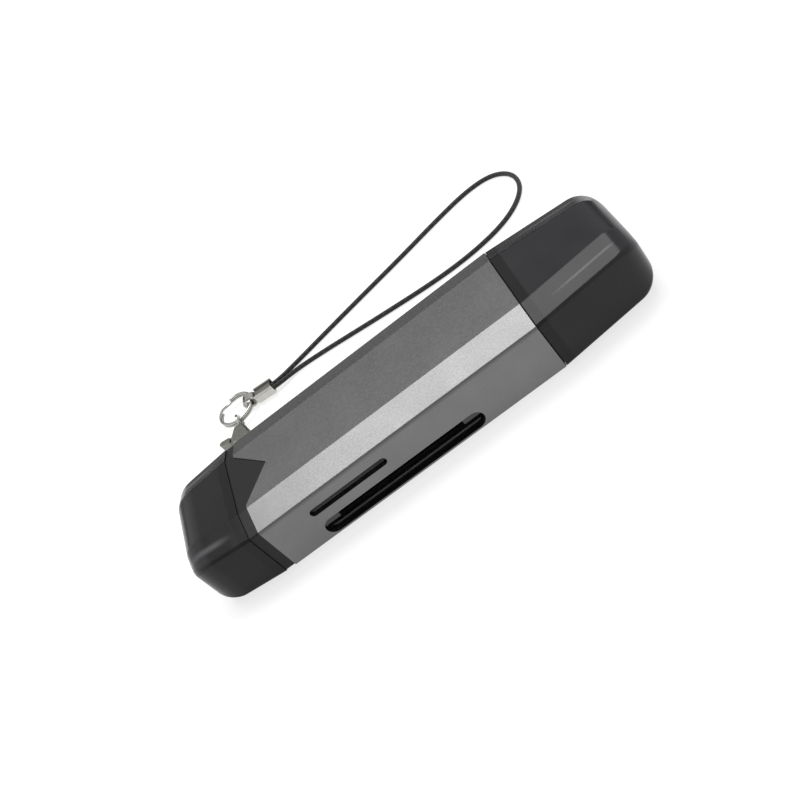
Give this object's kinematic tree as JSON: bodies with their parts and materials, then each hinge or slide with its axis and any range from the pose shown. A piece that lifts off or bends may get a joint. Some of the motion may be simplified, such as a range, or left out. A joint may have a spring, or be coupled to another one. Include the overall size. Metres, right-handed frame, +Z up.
{
  "type": "usb memory card reader",
  "caption": "Pocket USB card reader: eight-sided aluminium sleeve with two card slots, capped plugs at both ends, clip-on cord loop.",
  "frame": {"origin": "middle of the sleeve's flat underside, halfway along the sleeve", "axes": "+X along the body towards the USB-A plug, -Y is the side with the card slots, +Z up off the surface it lies on"},
  "size_m": [0.0717, 0.0492, 0.0105],
  "materials": {
    "sleeve_aluminium": "grey anodised, fine bead-blasted satin",
    "black_moulding": "fine satin",
    "smoke_cap": "smoke-tinted, polished",
    "board_laminate": "solder mask",
    "chip_package": "moulded",
    "capacitor_ceramic": "fired ceramic",
    "plug_steel": "nickel-plated sheet",
    "tongue_plastic": "moulded",
    "gold_contact": "gold flash",
    "clasp_metal": "tumbled nickel",
    "spring_wire": "nickel-plated",
    "crimp_steel": "nickel-plated sheet",
    "black_cord": "tightly braided"
  },
  "bodies": {
    "reader": {"outer_sleeve": "sleeve_aluminium", "collar": "black_moulding", "end_plate": "black_moulding", "lower_frame": "black_moulding", "upper_frame": "black_moulding", "circuit_board": "board_laminate", "controller_chip": "chip_package", "clock_crystal": "plug_steel", "voltage_regulator": "chip_package", "capacitors": "capacitor_ceramic", "usb_a_shell": "plug_steel", "usb_a_tongue": "tongue_plastic", "usb_a_contacts": "gold_contact", "usb_c_shell": "plug_steel", "usb_c_insulator": "black_moulding", "usb_c_contacts": "gold_contact", "large_card_base": "black_moulding", "large_card_cover": "plug_steel", "large_card_contacts": "gold_contact", "small_card_base": "black_moulding", "small_card_cover": "plug_steel", "small_card_contacts": "gold_contact"},
    "usb_a_cap": {"usb_a_cap": "smoke_cap"},
    "usb_c_cap": {"usb_c_cap": "smoke_cap"},
    "clasp": {"clasp_body": "clasp_metal", "clasp_pin": "clasp_metal", "clasp_spring": "spring_wire"},
    "trigger": {"clasp_trigger": "clasp_metal"},
    "swivel": {"clasp_eye": "clasp_metal"},
    "ring": {"split_ring": "spring_wire"},
    "lanyard": {"cord_crimp": "crimp_steel", "lanyard_cord": "black_cord"}
  },
  "joints": [
    {"name": "usb_a_cap_pull", "type": "slide", "parent": "reader", "child": "usb_a_cap", "axis": [1, 0, 0], "range_m": [0, 0.018]},
    {"name": "usb_c_cap_pull", "type": "slide", "parent": "reader", "child": "usb_c_cap", "axis": [-1, 0, 0], "range_m": [0, 0.012]},
    {"name": "clasp_swing", "type": "hinge", "parent": "reader", "child": "clasp", "pos_m": [-0.02315, 0.0115, 0.00125], "axis": [1, 0, 0], "range_deg": [0, 80]},
    {"name": "trigger_press", "type": "hinge", "parent": "clasp", "child": "trigger", "pos_m": [-0.02535, 0.0194, 0.00125], "axis": [0, 0, 1], "range_deg": [0, 10], "stiffness_Nm_per_rad": 0.012, "springref_deg": -5.73},
    {"name": "eye_swivel", "type": "hinge", "parent": "clasp", "child": "swivel", "pos_m": [-0.0242, 0.0236, 0.00125], "axis": [0, 1, 0], "range_deg": [-90, 90]},
    {"name": "ring_tilt", "type": "hinge", "parent": "swivel", "child": "ring", "pos_m": [-0.0242, 0.02515, 0.00125], "axis": [1, 0, 0], "range_deg": [0, 75]},
    {"name": "lanyard_lift", "type": "hinge", "parent": "ring", "child": "lanyard", "pos_m": [-0.02117, 0.02788, 0.00125], "axis": [0.1045, 0.9945, 0], "range_deg": [-80, 0]}
  ]
}
